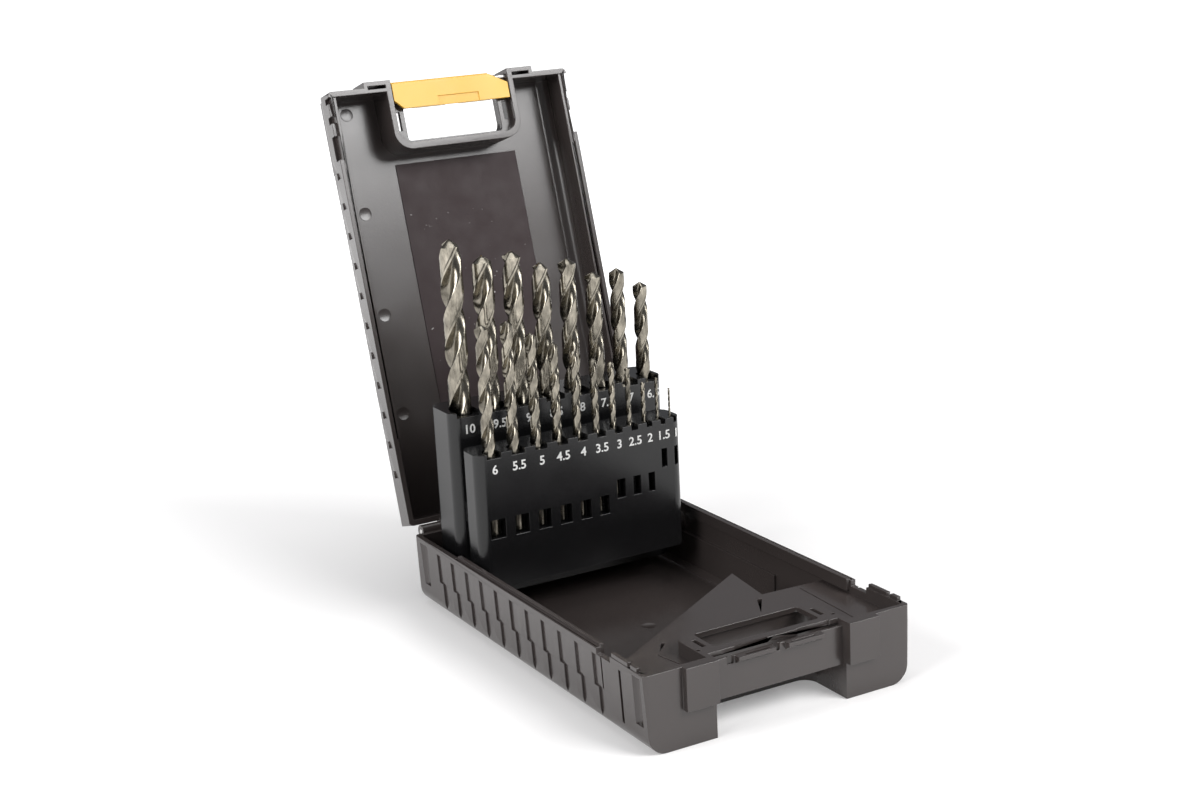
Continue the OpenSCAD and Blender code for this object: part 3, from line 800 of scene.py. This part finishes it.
class CASE_OT_stage(bpy.types.Operator):
    """Make the floor, the light and the camera"""

    bl_idname = "drill_case.stage"
    bl_label = "Floor, Light and Camera"

    FLOOR_SIZE = 15  # half its width, in metres
    # The camera that was solved from the photograph, in its pixels
    PICTURE = (1200, 800)
    FOCAL = 1966.6
    CENTRE = (610.64, 393.88)
    SENSOR = 36  # millimetres
    CAMERA_PLACE = (-0.3962, -0.6779, 0.3188)
    CAMERA_TURN = (1.772, -0.5114, 0.3276)  # axis of the turn, its length the angle

    def execute(self, context):
        self.floor(context)
        self.world(context)
        lamp("left_softbox", (-1.8, -0.2, 1.1), (0, 0, 0.08), (1.3, 1.1), 30)
        lamp("top_softbox", (0.1, 0.3, 2.1), (0, 0, 0), (1.3, 1.1), 10)
        lamp("front_softbox", (0.84, -1.36, 1.34), (0, 0.13, 0.12), (1.15, 0.9), 36)
        self.camera(context)
        context.scene.view_settings.view_transform = "Standard"
        return {"FINISHED"}

    def floor(self, context):
        """White paper that glows for the camera, more so away from the case."""
        bm = bmesh.new()
        bmesh.ops.create_grid(bm, x_segments=1, y_segments=1, size=self.FLOOR_SIZE)
        mesh = bpy.data.meshes.new("floor")
        bm.to_mesh(mesh)
        bm.free()
        floor = bpy.data.objects.new("floor", mesh)
        context.scene.collection.objects.link(floor)
        bench = NodeBench("floor_paper")
        colour = tuple(context.scene.drill_case_colours.floor)
        bench.finish(Base_Color=colour, Roughness=0.9, Specular_IOR_Level=0.0)
        path = bench.node("ShaderNodeLightPath").outputs
        seen = bench.math("MAXIMUM", path["Is Camera Ray"], path["Is Glossy Ray"])
        length = bench.node("ShaderNodeVectorMath", {0: bench.place()}, operation="LENGTH")
        strength = bench.span(length.outputs["Value"], 0.14, 1.0, 0.12, 0.95)
        glow = bench.node("ShaderNodeEmission", {"Color": (1, 1, 1, 1), "Strength": strength})
        dark = bench.node("ShaderNodeEmission", {"Color": (0, 0, 0, 1), "Strength": 0})
        pick = bench.node("ShaderNodeMixShader", {0: seen, 1: dark.outputs[0], 2: glow.outputs[0]})
        both = bench.node("ShaderNodeAddShader", {0: bench.shader.outputs[0], 1: pick.outputs[0]})
        out = bench.tree.nodes["Material Output"]
        bench.tree.links.new(both.outputs[0], out.inputs["Surface"])
        mesh.materials.append(bench.material)

    def world(self, context):
        """Faint cool light from all round, with a white background for the camera."""
        world = bpy.data.worlds.new("studio")
        context.scene.world = world
        world.use_nodes = True
        tree = world.node_tree
        ground = tree.nodes["Background"]
        ground.inputs["Color"].default_value = (0.93, 0.95, 1, 1)
        ground.inputs["Strength"].default_value = 0.22
        white = tree.nodes.new("ShaderNodeBackground")
        white.inputs["Color"].default_value = (1, 1, 1, 1)
        white.inputs["Strength"].default_value = 1.0
        path = tree.nodes.new("ShaderNodeLightPath")
        mix = tree.nodes.new("ShaderNodeMixShader")
        tree.links.new(path.outputs["Is Camera Ray"], mix.inputs[0])
        tree.links.new(ground.outputs[0], mix.inputs[1])
        tree.links.new(white.outputs[0], mix.inputs[2])
        tree.links.new(mix.outputs[0], tree.nodes["World Output"].inputs["Surface"])

    def camera(self, context):
        """The photograph's camera: its place, turn and framing."""
        data = bpy.data.cameras.new("camera")
        camera = bpy.data.objects.new("camera", data)
        context.scene.collection.objects.link(camera)
        width, height = self.PICTURE
        data.sensor_width = self.SENSOR
        data.lens = self.SENSOR * self.FOCAL / width
        data.shift_x = -(self.CENTRE[0] - width / 2) / width
        data.shift_y = (self.CENTRE[1] - height / 2) / width
        data.clip_start, data.clip_end = 0.05, 60
        turn = Vector(self.CAMERA_TURN)
        to_camera = Matrix.Rotation(turn.length, 3, turn.normalized())
        axes = Matrix((to_camera[0], -to_camera[1], -to_camera[2])).transposed()
        camera.matrix_world = Matrix.Translation(self.CAMERA_PLACE) @ axes.to_4x4()
        context.scene.camera = camera


class CASE_PT_panel(bpy.types.Panel):
    """Settings and pieces of the drill bit case"""

    bl_idname = "CASE_PT_panel"
    bl_label = "Drill Bit Case"
    bl_space_type = "VIEW_3D"
    bl_region_type = "UI"
    bl_category = "Drill Case"

    def draw(self, context):
        for settings in (context.scene.drill_case_sizes, context.scene.drill_case_colours):
            box = self.layout.box()
            for key in settings.bl_rna.properties.keys():
                if key not in ("rna_type", "name"):
                    box.prop(settings, key)
        for operator in OPERATORS:
            self.layout.operator(operator.bl_idname)


OPERATORS = (CASE_OT_shells, CASE_OT_panel, CASE_OT_marks, CASE_OT_racks, CASE_OT_figures,
             CASE_OT_latch, CASE_OT_pins, CASE_OT_drills, CASE_OT_stage)
CLASSES = (CaseSizes, CaseColours, *OPERATORS, CASE_PT_panel)


def register():
    for cls in CLASSES:
        bpy.utils.register_class(cls)
    bpy.types.Scene.drill_case_sizes = PointerProperty(type=CaseSizes)
    bpy.types.Scene.drill_case_colours = PointerProperty(type=CaseColours)


def unregister():
    del bpy.types.Scene.drill_case_colours
    del bpy.types.Scene.drill_case_sizes
    for cls in reversed(CLASSES):
        bpy.utils.unregister_class(cls)


def main():
    register()
    for operator in OPERATORS:
        group, action = operator.bl_idname.split(".")
        getattr(getattr(bpy.ops, group), action)()


if __name__ == "__main__":
    main()
